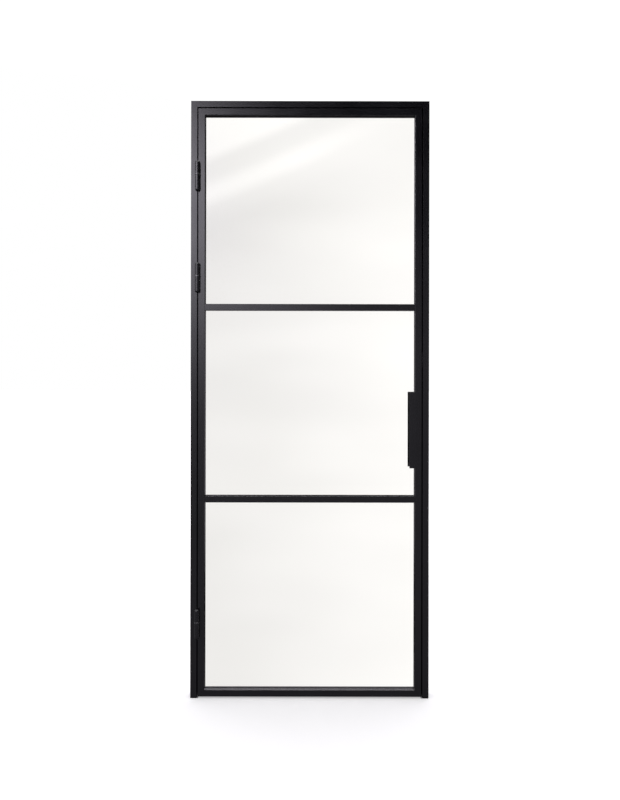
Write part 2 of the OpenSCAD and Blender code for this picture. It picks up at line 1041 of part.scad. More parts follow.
// The bead over a pane
module bead_head(i) {
    color(coat)
        placed()
            translate([-leaf_w / 2 + tube_w, 0, pane_z(i) + pane_h(i) + head_rebate(i)])
                rotate([0, 90, 0])
                    level_bead(head_rebate(i));
}

// The upright bead beside a pane on the hinge side, cut square between the other two
module bead_upright(i) {
    translate([-leaf_w / 2 + tube_w, 0, pane_z(i)])
        linear_extrude(pane_h(i))
            bead_section(rebate);
}

module bead_hinge_side(i) {
    color(coat)
        placed()
            bead_upright(i);
}

module bead_lock_side(i) {
    color(coat)
        placed()
            difference() {
                mirror([1, 0, 0])
                    bead_upright(i);
                bolt_holes(bead_v - past, leaf_t + past, port_r);
            }
}

module bead_low_sill() {
    bead_sill(0);
}

module bead_low_head() {
    bead_head(0);
}

module bead_low_hinge_side() {
    bead_hinge_side(0);
}

module bead_low_lock_side() {
    bead_lock_side(0);
}

module bead_mid_sill() {
    bead_sill(1);
}

module bead_mid_head() {
    bead_head(1);
}

module bead_mid_hinge_side() {
    bead_hinge_side(1);
}

module bead_mid_lock_side() {
    bead_lock_side(1);
}

module bead_top_sill() {
    bead_sill(2);
}

module bead_top_head() {
    bead_head(2);
}

module bead_top_hinge_side() {
    bead_hinge_side(2);
}

module bead_top_lock_side() {
    bead_lock_side(2);
}

// Plastic blocks that carry the panes in the rebate, two under each
module setting_blocks() {
    color([0.2, 0.2, 0.22])
        placed()
            for (i = [0 : pane_count - 1], side = [0, 1])
                mirror([side, 0, 0])
                    translate([-clear_w / 2 + block_inset, glass_v, pane_z(i) - sill_rebate(i)])
                        cube([block_len, glass_t, sill_rebate(i) - glass_bite]);
}

// A cleat in the upper corner of the leaf on the hinge side
module leaf_cleat() {
    inset = wall + cleat_play;
    translate([-leaf_w / 2 + inset, 0, leaf_top - inset])
        prism_xz(inset, leaf_t - inset)
            cleat_outline(leaf_cleat_arm, tube_w - 2 * inset);
}

// The same cleat in a lower corner, turned upside down about the leaf's middle
module leaf_cleat_low() {
    translate([0, 0, 2 * floor_gap + leaf_h])
        mirror([0, 0, 1])
            leaf_cleat();
}

module leaf_cleat_low_hinge() {
    color(bare_aluminium)
        placed()
            leaf_cleat_low();
}

module leaf_cleat_low_lock() {
    color(bare_aluminium)
        placed()
            mirror([1, 0, 0])
                leaf_cleat_low();
}

module leaf_cleat_top_hinge() {
    color(bare_aluminium)
        placed()
            leaf_cleat();
}

module leaf_cleat_top_lock() {
    color(bare_aluminium)
        placed()
            mirror([1, 0, 0])
                leaf_cleat();
}

// Section of a handle in s and v: a flange on the stile, a step and a grip over the glass
module handle_section() {
    step_s = leaf_face - handle_t;
    translate([handle_root, -handle_t])
        rounded_rect(leaf_face - handle_root, handle_t, handle_r);
    translate([step_s, -handle_reach])
        rounded_rect(handle_t, handle_reach, handle_r);
    translate([step_s, -handle_reach])
        rounded_rect(handle_t + grip_over, handle_t, handle_r);
    translate([leaf_face, -handle_reach + handle_t])
        difference() {
            square(grip_fillet);
            translate([grip_fillet, grip_fillet])
                circle(grip_fillet);
        }
}

// A handle bar on the pull side, before its bolt holes
module handle_bar() {
    translate([leaf_w / 2, 0, handle_z - handle_len / 2])
        mirror([1, 0, 0])
            linear_extrude(handle_len)
                handle_section();
}

module pull_handle() {
    color(coat)
        placed()
            difference() {
                handle_bar();
                bolt_holes(-tap_depth, past, port_r);
            }
}

// A handle bolt from the push side, with its head's face flush in the flange
module handle_bolt(play) {
    head_v = leaf_t + handle_t;
    translate([0, head_v, 0])
        rotate([90, 0, 0])
            cylinder(h = head_h, r1 = screw_head_r + play, r2 = screw_r + play);
    bar_y(-tap_depth + bolt_end_room, head_v, screw_r + play);
}

module push_handle() {
    color(coat)
        placed()
            difference() {
                translate([0, leaf_t, 0])
                    mirror([0, 1, 0])
                        handle_bar();
                for (z = bolt_heights())
                    translate([leaf_w / 2 - bolt_s, 0, z])
                        handle_bolt(screw_play);
            }
}

module handle_bolts() {
    color(bright_steel)
        placed()
            for (z = bolt_heights())
                translate([leaf_w / 2 - bolt_s, 0, z])
                    handle_bolt(0);
}

hinge_jamb();
strike_jamb();
head_jamb();
frame_cleat_hinge_side();
frame_cleat_strike_side();
hinge_jamb_foot();
strike_jamb_foot();
hinge_jamb_seal();
strike_jamb_seal();
head_seal();
frame_knuckle_low();
frame_knuckle_mid();
frame_knuckle_top();
hinge_pins();
bearing_rings();
frame_hinge_backers();
frame_screws();
catch_keeper();
hinge_stile();
lock_stile();
top_rail();
bottom_rail();
lower_bar();
upper_bar();
glass_low();
glass_mid();
glass_top();
front_tape_low();
front_tape_mid();
front_tape_top();
rear_tape_low();
rear_tape_mid();
rear_tape_top();
bead_low_sill();
bead_low_head();
bead_low_hinge_side();
bead_low_lock_side();
bead_mid_sill();
bead_mid_head();
bead_mid_hinge_side();
bead_mid_lock_side();
bead_top_sill();
bead_top_head();
bead_top_hinge_side();
bead_top_lock_side();
leaf_cleat_low_hinge();
leaf_cleat_low_lock();
leaf_cleat_top_hinge();
leaf_cleat_top_lock();
leaf_knuckle_low();
leaf_knuckle_mid();
leaf_knuckle_top();
leaf_hinge_backers();
leaf_screws();
bar_screws();
setting_blocks();
pull_handle();
push_handle();
handle_bolts();
catch_magnet();
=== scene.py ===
import json

import bpy
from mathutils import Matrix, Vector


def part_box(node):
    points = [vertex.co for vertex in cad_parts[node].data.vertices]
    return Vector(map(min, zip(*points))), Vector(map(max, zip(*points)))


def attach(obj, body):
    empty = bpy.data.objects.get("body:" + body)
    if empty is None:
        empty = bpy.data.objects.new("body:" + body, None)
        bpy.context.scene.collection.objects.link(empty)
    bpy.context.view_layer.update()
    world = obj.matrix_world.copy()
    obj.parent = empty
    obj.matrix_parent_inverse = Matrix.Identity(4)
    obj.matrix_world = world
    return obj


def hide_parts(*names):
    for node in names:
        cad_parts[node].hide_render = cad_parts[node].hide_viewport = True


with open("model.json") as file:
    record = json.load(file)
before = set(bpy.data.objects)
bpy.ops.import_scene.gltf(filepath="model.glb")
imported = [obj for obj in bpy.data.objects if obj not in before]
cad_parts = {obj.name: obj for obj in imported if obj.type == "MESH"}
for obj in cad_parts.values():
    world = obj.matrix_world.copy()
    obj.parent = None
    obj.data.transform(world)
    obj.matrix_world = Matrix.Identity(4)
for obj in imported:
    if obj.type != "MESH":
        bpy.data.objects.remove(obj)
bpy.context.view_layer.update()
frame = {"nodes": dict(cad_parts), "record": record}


# The camera stands square in front of the door, level, at about eye height. Its lens is shifted down a
# little, so that the upright lines stay upright and the door sits where the photograph has it.
image_height = 800
horizon_row = 367.6
shift_right_px = 0.1
camera_distance = 3.06
camera_height = 1.301
camera_roll = -0.0017
level_turn = 1.5708
lens_mm, sensor_mm = 35.005, 36
door_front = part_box("head_jamb")[0][1]
bpy.ops.object.select_all(action="DESELECT")
bpy.ops.object.camera_add(
    location=(0, door_front - camera_distance, camera_height),
    rotation=(level_turn, camera_roll, 0),
)
camera = bpy.context.object
camera.data.lens = lens_mm
camera.data.sensor_width = sensor_mm
camera.data.shift_x = shift_right_px / image_height
camera.data.shift_y = (horizon_row - image_height / 2) / image_height
bpy.context.scene.camera = camera
bpy.context.scene.view_settings.view_transform = "Standard"


# Frame: two jambs and a head of hollow aluminium extrusion, mitred at the top corners and powder coated
# satin black. The coat has a fine orange-peel skin, is rougher inside the rebate, where its reflection is
# also cut down as painted shade, and shows a hairline where the mitres close.
coat_dark, coat_light = (0.0040, 0.0037, 0.0058), (0.0065, 0.0061, 0.0094)
coat_smooth, coat_rough = 0.17, 0.22
coat_ior = 2.0
cloud_scale = 5
noise_low, noise_high = 0.3, 0.7
dark_until, light_from = 0.35, 0.65
peel_scale, peel_detail, peel_depth = 1300, 2, 0.000006
seam_half_width, seam_colour = 0.00012, (0.002, 0.002, 0.002, 1)
gap_dulling, painted_shade_shine = 0.5, 0.05
edge_r, face_margin, well_clear = 0.002, 0.00002, 1


def node(tree, kind, inputs, **settings):
    made = tree.nodes.new(kind)
    for name, value in settings.items():
        setattr(made, name, value)
    for name, value in inputs.items():
        if isinstance(value, bpy.types.NodeSocket):
            tree.links.new(value, made.inputs[name])
        else:
            made.inputs[name].default_value = value
    return made


def sums(tree, operation, first, second=0.0):
    return node(tree, "ShaderNodeMath", {0: first, 1: second}, operation=operation).outputs[0]


def times(tree, first, *others):
    for other in others:
        first = sums(tree, "MULTIPLY", first, other)
    return first


def noise(tree, coords, scale, detail=3.0):
    inputs = {"Vector": coords, "Scale": scale, "Detail": detail}
    return node(tree, "ShaderNodeTexNoise", inputs).outputs["Fac"]


def ramp(tree, value, start, end, low, high, kind="LINEAR"):
    inputs = {"Value": value, "From Min": start, "From Max": end, "To Min": low, "To Max": high}
    return node(tree, "ShaderNodeMapRange", inputs, interpolation_type=kind).outputs["Result"]


def spread(tree, value, low, high):
    return ramp(tree, value, noise_low, noise_high, low, high)


def two_tone(tree, value, dark, light):
    tones = node(tree, "ShaderNodeValToRGB", {"Fac": value})
    first, last = tones.color_ramp.elements
    first.position, first.color = dark_until, (*dark, 1)
    last.position, last.color = light_from, (*light, 1)
    return tones.outputs["Color"]


def new_finish(name):
    finish = bpy.data.materials.new(name)
    finish.use_nodes = True
    tree = finish.node_tree
    coords = tree.nodes.new("ShaderNodeTexCoord").outputs["Object"]
    return finish, tree, tree.nodes["Principled BSDF"], coords


def relief(tree, shader, height, depth):
    bump = node(tree, "ShaderNodeBump", {"Height": height, "Distance": depth})
    tree.links.new(bump.outputs["Normal"], shader.inputs["Normal"])


def finish_nodes(finish, *names):
    for name in names:
        mesh = frame["nodes"][name].data
        mesh.materials.clear()
        mesh.materials.append(finish)


def mitre_seam(tree, coords, half_width, level):
    place = node(tree, "ShaderNodeSeparateXYZ", {"Vector": coords}).outputs
    from_side = sums(tree, "SUBTRACT", half_width, sums(tree, "ABSOLUTE", place["X"]))
    from_level = sums(tree, "ABSOLUTE", sums(tree, "SUBTRACT", place["Z"], level))
    off_mitre = sums(tree, "ABSOLUTE", sums(tree, "SUBTRACT", from_side, from_level))
    return sums(tree, "LESS_THAN", off_mitre, seam_half_width)


def inside_box(tree, coords, low, high):
    place = node(tree, "ShaderNodeSeparateXYZ", {"Vector": coords}).outputs
    inside = 1.0
    ways = (sums(tree, "ABSOLUTE", place["X"]), place["Y"], place["Z"])
    for value, least, most in zip(ways, low, high):
        past_least = sums(tree, "GREATER_THAN", value, least)
        before_most = sums(tree, "LESS_THAN", value, most)
        inside = times(tree, inside, past_least, before_most)
    return inside


def powder_coat(name, half_width=None, mitre_levels=(), shade_box=None):
    finish, tree, shader, coords = new_finish(name)
    cloud = noise(tree, coords, cloud_scale)
    colour = two_tone(tree, cloud, coat_dark, coat_light)
    peel = noise(tree, coords, peel_scale, peel_detail)
    for level in mitre_levels:
        seam = mitre_seam(tree, coords, half_width, level)
        seamed = {0: seam, 6: colour, 7: seam_colour}
        colour = node(tree, "ShaderNodeMix", seamed, data_type="RGBA").outputs[2]
        peel = sums(tree, "SUBTRACT", peel, seam)
    roughness = spread(tree, cloud, coat_smooth, coat_rough)
    # Inside the given box the coat is made rougher, and its reflection is cut down through the specular
    # tint as painted shade in the gaps.
    if shade_box:
        in_shade = inside_box(tree, coords, *shade_box)
        roughness = sums(tree, "ADD", roughness, times(tree, in_shade, gap_dulling))
        shaded_shine = sums(tree, "SUBTRACT", 1.0, times(tree, in_shade, 1 - painted_shade_shine))
        tree.links.new(shaded_shine, shader.inputs["Specular Tint"])
    tree.links.new(colour, shader.inputs["Base Color"])
    tree.links.new(roughness, shader.inputs["Roughness"])
    shader.inputs["IOR"].default_value = coat_ior
    relief(tree, shader, peel, peel_depth)
    return finish


frame_low, frame_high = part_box("head_jamb")
stop_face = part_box("head_seal")[1][1]
rebate_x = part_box("catch_keeper")[1][0]
leaf_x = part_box("lock_stile")[1][0]
rebate_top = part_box("top_rail")[1][2] + rebate_x - leaf_x
# The rebate's box: here the frame coat's reflection is cut down as painted shade.
rebate_shade_box = (
    (-well_clear, frame_low[1] + face_margin, -well_clear),
    (rebate_x + edge_r, stop_face, rebate_top + edge_r),
)
frame_coat = powder_coat("frame_powder_coat", frame_high[0], [frame_high[2]], rebate_shade_box)
finish_nodes(frame_coat, "hinge_jamb", "strike_jamb", "head_jamb")


# Corner cleats: pieces of bare aluminium angle, sawn to length, that draw the mitres of the frame and of
# the leaf together from inside. The saw leaves fine lines across them.
sawn_dark, sawn_light = (0.50, 0.51, 0.52), (0.62, 0.63, 0.64)
saw_stretch, saw_line_depth = (40, 40, 2600), 0.00002
leaf_corners = ["low_hinge", "low_lock", "top_hinge", "top_lock"]


def fine_lines(tree, coords, stretch):
    stretched = node(tree, "ShaderNodeMapping", {"Vector": coords, "Scale": stretch})
    return noise(tree, stretched.outputs[0], 1)


def tone_and_gloss(tree, shader, pattern, dark, light, smooth, rough):
    tree.links.new(two_tone(tree, pattern, dark, light), shader.inputs["Base Color"])
    tree.links.new(spread(tree, pattern, smooth, rough), shader.inputs["Roughness"])


def bare_aluminium():
    finish, tree, shader, coords = new_finish("sawn_aluminium")
    lines = fine_lines(tree, coords, saw_stretch)
    tone_and_gloss(tree, shader, lines, sawn_dark, sawn_light, smooth=0.32, rough=0.46)
    shader.inputs["Metallic"].default_value = 1
    relief(tree, shader, lines, saw_line_depth)
    return finish


finish_nodes(
    bare_aluminium(),
    "frame_cleat_hinge_side",
    "frame_cleat_strike_side",
    *["leaf_cleat_" + corner for corner in leaf_corners],
)


# Foot plugs and setting blocks: moulded black plastic. The plugs close the jambs' ends on the floor, and
# the blocks carry the panes clear of the metal.
plastic_dark, plastic_light = (0.010, 0.010, 0.010), (0.017, 0.017, 0.017)
plastic_grain_scale, plastic_grain_depth = 700, 0.00003


def moulded_plastic():
    finish, tree, shader, coords = new_finish("moulded_black_plastic")
    grain = noise(tree, coords, plastic_grain_scale)
    tone_and_gloss(tree, shader, grain, plastic_dark, plastic_light, smooth=0.48, rough=0.60)
    relief(tree, shader, grain, plastic_grain_depth)
    return finish


finish_nodes(moulded_plastic(), "hinge_jamb_foot", "strike_jamb_foot", "setting_blocks")


# Seals and glazing tapes: extruded black rubber. The bulb seal sits in the stop's groove, and the tapes
# lie between the glass and the metal on both sides.
rubber_dark, rubber_light = (0.007, 0.007, 0.007), (0.013, 0.013, 0.013)
bloom_scale = 60
rubber_skin_scale, rubber_skin_detail, rubber_skin_depth = 2200, 1, 0.00002
heights = ["low", "mid", "top"]


def black_rubber():
    finish, tree, shader, coords = new_finish("extruded_black_rubber")
    bloom = noise(tree, coords, bloom_scale)
    tone_and_gloss(tree, shader, bloom, rubber_dark, rubber_light, smooth=0.62, rough=0.78)
    relief(tree, shader, noise(tree, coords, rubber_skin_scale, rubber_skin_detail), rubber_skin_depth)
    return finish


finish_nodes(
    black_rubber(),
    "hinge_jamb_seal",
    "strike_jamb_seal",
    "head_seal",
    *["front_tape_" + height for height in heights],
    *["rear_tape_" + height for height in heights],
)


# Hinges and the catch's keeper plate: three pairs of turned steel knuckles with flags, and a cut plate,
# coated black to match the frame, with a slightly finer skin. Flags and plate are screwed to the metal
# that they lie on.
hinge_cloud_scale = 30
hinge_skin_scale, hinge_skin_detail, hinge_skin_depth = 1500, 2, 0.000008


def hinge_coat():
    finish, tree, shader, coords = new_finish("hinge_black_coat")
    cloud = noise(tree, coords, hinge_cloud_scale)
    tone_and_gloss(tree, shader, cloud, coat_dark, coat_light, smooth=0.22, rough=0.30)
    shader.inputs["IOR"].default_value = coat_ior
    relief(tree, shader, noise(tree, coords, hinge_skin_scale, hinge_skin_detail), hinge_skin_depth)
    return finish


finish_nodes(
    hinge_coat(),
    "catch_keeper",
    *["frame_knuckle_" + height for height in heights],
    *["leaf_knuckle_" + height for height in heights],
)


# Bearing rings: washers of burnished steel between the knuckles, lighter than the coat. The leaf's weight
# rests on them, so they are left uncoated.
ring_dark, ring_light = (0.25, 0.25, 0.255), (0.31, 0.31, 0.315)
burnish_scale, burnish_depth = 400, 0.000005


def burnished_steel():
    finish, tree, shader, coords = new_finish("burnished_steel")
    burnish = noise(tree, coords, burnish_scale)
    tone_and_gloss(tree, shader, burnish, ring_dark, ring_light, smooth=0.28, rough=0.36)
    shader.inputs["Metallic"].default_value = 1
    relief(tree, shader, burnish, burnish_depth)
    return finish


finish_nodes(burnished_steel(), "bearing_rings")


# Hinge pins, tapped plates, the bars' end screws and the catch's plated magnet: bright metal, turned or
# cut. The pins are driven into the lower knuckles, and the plates lie inside the tubes behind the flags.
steel_dark, steel_light = (0.46, 0.46, 0.46), (0.60, 0.60, 0.59)
turning_stretch, turning_depth = (60, 60, 3000), 0.00001


def bright_steel():
    finish, tree, shader, coords = new_finish("bright_steel")
    turning = fine_lines(tree, coords, turning_stretch)
    tone_and_gloss(tree, shader, turning, steel_dark, steel_light, smooth=0.24, rough=0.36)
    shader.inputs["Metallic"].default_value = 1
    relief(tree, shader, turning, turning_depth)
    return finish


finish_nodes(
    bright_steel(),
    "hinge_pins",
    "frame_hinge_backers",
    "leaf_hinge_backers",
    "bar_screws",
    "catch_magnet",
)


# Hinge and keeper screws: countersunk steel screws with a hexagon socket, driven into the tapped plates.
# One is turned and broached on its own axis, and a copy goes where the part has a screw, with its head
# towards the gap between leaf and jamb.
screw_head_r, screw_shank_r, screw_head_h = 0.0039, 0.0020, 0.0019
screw_sides = 32
cone_share, rim_share = 0.85, 0.15
tip_share, tip_chamfer = 0.9, screw_shank_r * 0.2
socket_r, socket_depth, socket_sides = 0.00144, 0.0016, 6
square_on = 0.9
smooth_angle = 0.6
quarter_turn = 1.5707963
weld = 0.000001


def pick_faces(piece, wanted):
    bpy.ops.mesh.select_mode(type="FACE")
    bpy.ops.mesh.select_all(action="DESELECT")
    bpy.ops.object.mode_set(mode="OBJECT")
    for face in piece.data.polygons:
        face.select = wanted(face)
    bpy.ops.object.mode_set(mode="EDIT")


def draw_out(distance):
    bpy.ops.mesh.extrude_region_move(TRANSFORM_OT_translate={"value": (0, 0, distance)})


def countersunk_screw(length):
    bpy.ops.object.select_all(action="DESELECT")
    shank_depth = length - screw_head_h
    bpy.ops.mesh.primitive_cylinder_add(vertices=screw_sides, radius=screw_shank_r, depth=shank_depth)
    screw = bpy.context.object
    bpy.ops.object.mode_set(mode="EDIT")
    bpy.ops.mesh.select_all(action="SELECT")
    bpy.ops.transform.translate(value=(0, 0, -(length + screw_head_h) / 2))
    pick_faces(screw, lambda face: face.normal.z > square_on)
    draw_out(screw_head_h * cone_share)
    bpy.ops.transform.resize(value=(screw_head_r / screw_shank_r, screw_head_r / screw_shank_r, 1))
    draw_out(screw_head_h * rim_share)
    near_tip = -length * tip_share
    pick_faces(screw, lambda face: face.normal.z < -square_on and face.center.z < near_tip)
    bpy.ops.mesh.bevel(offset=tip_chamfer, segments=1)
    bpy.ops.object.mode_set(mode="OBJECT")
    bpy.ops.object.select_all(action="DESELECT")
    bpy.ops.mesh.primitive_cylinder_add(vertices=socket_sides, radius=socket_r, depth=2 * socket_depth)
    broach = bpy.context.object
    bpy.context.view_layer.objects.active = screw
    cut = screw.modifiers.new("socket", "BOOLEAN")
    cut.object = broach
    cut.operation = "DIFFERENCE"
    bpy.ops.object.modifier_apply(modifier=cut.name)
    bpy.data.objects.remove(broach)
    screw.select_set(True)
    bpy.ops.object.shade_smooth_by_angle(angle=smooth_angle)
    return screw


def loose_boxes(node_name):
    source = frame["nodes"][node_name]
    bpy.ops.object.select_all(action="DESELECT")
    source.select_set(True)
    bpy.context.view_layer.objects.active = source
    bpy.ops.object.duplicate()
    bpy.ops.object.mode_set(mode="EDIT")
    bpy.ops.mesh.select_all(action="SELECT")
    bpy.ops.mesh.remove_doubles(threshold=weld)
    bpy.ops.mesh.separate(type="LOOSE")
    bpy.ops.object.mode_set(mode="OBJECT")
    parts = list(bpy.context.selected_objects)
    boxes = []
    for part in parts:
        corners = [vertex.co for vertex in part.data.vertices]
        low = [min(corner[axis] for corner in corners) for axis in range(3)]
        high = [max(corner[axis] for corner in corners) for axis in range(3)]
        boxes.append((low, high))
    for part in parts:
        bpy.data.objects.remove(part)
    return sorted(boxes)


def set_copies(pattern, name, places):
    copies = []
    for spot, turn in places:
        bpy.ops.object.select_all(action="DESELECT")
        pattern.select_set(True)
        bpy.context.view_layer.objects.active = pattern
        bpy.ops.object.duplicate()
        copy = bpy.context.object
        copy.location = spot
        copy.rotation_euler = turn
        bpy.ops.object.transform_apply(location=True, rotation=True, scale=True)
        copies.append(copy)
    bpy.data.objects.remove(pattern)
    for copy in copies:
        copy.select_set(True)
    bpy.context.view_layer.objects.active = copies[0]
    bpy.ops.object.join()
    joined = bpy.context.object
    joined.name = name
    joined.data.name = name
    return joined


gap_middle = (rebate_x + leaf_x) / 2
screw_steel = bright_steel()
for node_name, piece_name, body in [
    ("frame_screws", "hinge_and_keeper_screws", "frame"),
    ("leaf_screws", "leaf_hinge_screws", "leaf"),
]:
    places = []
    for low, high in loose_boxes(node_name):
        middle_y, middle_z = (low[1] + high[1]) / 2, (low[2] + high[2]) / 2
        head_on_high = abs(abs(high[0]) - gap_middle) < abs(abs(low[0]) - gap_middle)
        head_x = high[0] if head_on_high else low[0]
        turn = quarter_turn if head_on_high else -quarter_turn
        places.append(((head_x, middle_y, middle_z), (0, turn, 0)))
        screw_length = high[0] - low[0]
    screws = set_copies(countersunk_screw(screw_length), piece_name, places)
    screws.data.materials.append(screw_steel)
    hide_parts(node_name)
    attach(screws, body)


# Fixing caps: moulded black plastic caps, pressed into the driver holes in the frame's rebate, over the
# frame's fixing screws. Each has a low rounded flange and a short skirt.
mm = 0.001
cap_r, cap_t, cap_sides = 0.0082, 0.0010, 40
flange_round, flange_steps = cap_t * 0.7, 4
skirt_r, skirt_depth = 0.0066, 0.0050
cap_places = []
for mount in frame["record"]["mounts"]:
    if mount["kind"] != "bolt_pattern":
        continue
    x, y, z = mount["pos_m"]
    side = mount["axis"][0]
    on_jamb = abs(side) > 0.5
    spacing_mm = mount["dims"].get("spacing_y_mm") or mount["dims"]["spacing_x_mm"]
    half_spacing = spacing_mm / 2 * mm
    for end in (-half_spacing, half_spacing):
        if on_jamb:
            cap_places.append(((side * rebate_x, y, z + end), (0, -side * quarter_turn, 0)))
        else:
            cap_places.append(((x + end, y, rebate_top), (2 * quarter_turn, 0, 0)))
bpy.ops.object.select_all(action="DESELECT")
cap_middle = (0, 0, cap_t / 2)
bpy.ops.mesh.primitive_cylinder_add(vertices=cap_sides, radius=cap_r, depth=cap_t, location=cap_middle)
cap = bpy.context.object
bpy.ops.object.transform_apply(location=True, rotation=True, scale=True)
bpy.ops.object.mode_set(mode="EDIT")
pick_faces(cap, lambda face: face.normal.z > square_on)
bpy.ops.mesh.bevel(offset=flange_round, segments=flange_steps)
pick_faces(cap, lambda face: face.normal.z < -square_on)
bpy.ops.mesh.inset(thickness=cap_r - skirt_r)
draw_out(-skirt_depth)
bpy.ops.object.mode_set(mode="OBJECT")
bpy.ops.object.shade_smooth_by_angle(angle=smooth_angle)
caps = set_copies(cap, "fixing_caps", cap_places)
caps.data.materials.append(moulded_plastic())
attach(caps, "frame")


# Leaf: stiles and rails of one hollow aluminium extrusion, mitred at four corners, two glazing bars screwed
# between the stiles, and snap-in beads on the push side. All have the frame's satin black coat, which is
# rougher on the leaf's top edge, where its reflection is also cut down as painted shade.
bead_sides = ["sill", "head", "hinge_side", "lock_side"]
leaf_low, leaf_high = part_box("top_rail")
leaf_mitres = [leaf_high[2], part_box("bottom_rail")[0][2]]
# The leaf's top edge box: here the leaf coat's reflection is cut down as painted shade.
top_edge_shade_box = (
    (-well_clear, leaf_low[1] + face_margin, leaf_high[2] - edge_r),
    (well_clear, leaf_high[1] + edge_r, leaf_high[2] + edge_r),
)
leaf_coat = powder_coat("leaf_powder_coat", leaf_high[0], leaf_mitres, top_edge_shade_box)
finish_nodes(leaf_coat, "hinge_stile", "lock_stile", "top_rail", "bottom_rail")
finish_nodes(
    powder_coat("bar_and_bead_powder_coat"),
    "lower_bar",
    "upper_bar",
    *["bead_" + height + "_" + side for height in heights for side in bead_sides],
)


# Panes: three sheets of clear laminated glass, bedded on setting blocks between the tapes. The float glass
# waves very slightly, which is what makes its reflections soft.
glass_dark, glass_light = (0.963, 0.950, 0.924), (0.993, 0.980, 0.957)
glass_ior = 1.5
wave_scale, wave_detail, wave_depth = 1.6, 1, 0.0004


def laminated_glass():
    finish, tree, shader, coords = new_finish("clear_laminated_glass")
    wave = noise(tree, coords, wave_scale, wave_detail)
    tree.links.new(two_tone(tree, wave, glass_dark, glass_light), shader.inputs["Base Color"])
    shader.inputs["Roughness"].default_value = 0.0
    shader.inputs["IOR"].default_value = glass_ior
    shader.inputs["Transmission Weight"].default_value = 1
    relief(tree, shader, wave, wave_depth)
    return finish


finish_nodes(laminated_glass(), *["glass_" + height for height in heights])


# Handles: a pair of stepped plates cut from flat bar, back to back on the lock stile, powder coated black.
# Three through bolts from the push side hold both.
finish_nodes(powder_coat("handle_powder_coat"), "pull_handle", "push_handle")
bolt_places = []
for low, high in loose_boxes("handle_bolts"):
    head_place = ((low[0] + high[0]) / 2, high[1], (low[2] + high[2]) / 2)
    bolt_places.append((head_place, (-quarter_turn, 0, 0)))
    bolt_length = high[1] - low[1]
bolts = set_copies(countersunk_screw(bolt_length), "handle_through_bolts", bolt_places)
bolts.data.materials.append(hinge_coat())
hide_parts("handle_bolts")
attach(bolts, "leaf")


# Floor: a plain pale painted floor that runs out into the even white studio. It glows a little as painted
# light that washes out its shadows, more so further out, but the glow is left out where the floor shows in
# the narrow gaps between the leaf and the jambs, as painted shade there.
floor_size = 80
floor_dark, floor_light = (0.90, 0.90, 0.90), (0.92, 0.92, 0.915)
floor_cloud_scale = 0.8
floor_roughness = 0.9
floor_near, floor_far, floor_glow = 1.0, 3.2, 0.42
under_leaf, under_jamb = 0.001, 0.01
# The gaps' box: here the floor's glow is left out, as painted shade.
floor_gap_shade_box = (
    (leaf_x - under_leaf, door_front, -well_clear),
    (rebate_x + under_jamb, frame_high[1], well_clear),
)
bpy.ops.object.select_all(action="DESELECT")
bpy.ops.mesh.primitive_plane_add(size=floor_size)
floor = bpy.context.object
floor.name = "studio_floor"
floor_paint, floor_tree, floor_shader, floor_coords = new_finish("pale_floor")
floor_cloud = noise(floor_tree, floor_coords, floor_cloud_scale)
floor_tone = two_tone(floor_tree, floor_cloud, floor_dark, floor_light)
floor_tree.links.new(floor_tone, floor_shader.inputs["Base Color"])
floor_shader.inputs["Roughness"].default_value = floor_roughness
floor_shader.inputs["Specular IOR Level"].default_value = 0.0
floor_shader.inputs["Emission Color"].default_value = (1, 1, 1, 1)


def soft_ramp(tree, value, start, end, low, high):
    return ramp(tree, value, start, end, low, high, "SMOOTHSTEP")


# The floor's emission is painted light, weaker near the door and full further out.
floor_way = node(floor_tree, "ShaderNodeVectorMath", {0: floor_coords}, operation="LENGTH")
floor_fade = soft_ramp(floor_tree, floor_way.outputs["Value"], floor_near, floor_far, floor_glow, 1)
glow_outside_gap_shade = sums(floor_tree, "SUBTRACT", 1.0, inside_box(floor_tree, floor_coords, *floor_gap_shade_box))
floor_tree.links.new(times(floor_tree, floor_fade, glow_outside_gap_shade), floor_shader.inputs["Emission Strength"])
floor.data.materials.append(floor_paint)
floor.visible_glossy = False
floor.visible_diffuse = False
floor.visible_transmission = False


# Studio light: a wide soft lamp overhead in a white studio. What the coat reflects is dim in front of the
# door, apart from one soft leaning window to the upper left, and lighter above and behind it. Through the
# panes a white backdrop shows, darker to the left, with two faint slanting streaks painted into it as
# painted reflections in the glass, and with the window taken off it as painted shade that cancels the
# window's reflection in the panes.
lamp_height, lamp_size, lamp_power = 5, 5, 150
bpy.ops.object.light_add(type="AREA", location=(0, 0, lamp_height))
lamp = bpy.context.object
lamp.name = "overhead_lamp"
lamp.data.shape = "SQUARE"
lamp.data.size = lamp_size
lamp.data.energy = lamp_power

studio = bpy.context.scene.world or bpy.data.worlds.new("studio")
bpy.context.scene.world = studio
studio.use_nodes = True
sky = studio.node_tree
direction = sky.nodes.new("ShaderNodeTexCoord").outputs["Generated"]
way = node(sky, "ShaderNodeSeparateXYZ", {"Vector": direction}).outputs
across, deep, up = way["X"], way["Y"], way["Z"]

back_dark, back_light, back_high, back_side = 0.05, 1.5, 0.7, 1.8
band_top, band_foot = (-0.27, -0.20), (-0.33, -0.40)
eye_line, back_ends = (0.02, 0.12), (0.2, 0.5)
above_band = soft_ramp(sky, up, *band_top, back_dark, back_light)
below_band = soft_ramp(sky, up, *band_foot, back_dark, back_light)
back_low = sums(sky, "MAXIMUM", above_band, below_band)
back_upper = soft_ramp(sky, up, *eye_line, back_light, back_high)
back_middle = sums(sky, "MINIMUM", back_low, back_upper)
back_sides = soft_ramp(sky, sums(sky, "ABSOLUTE", across), *back_ends, 0.0, back_side)
back = sums(sky, "MAXIMUM", back_middle, back_sides)

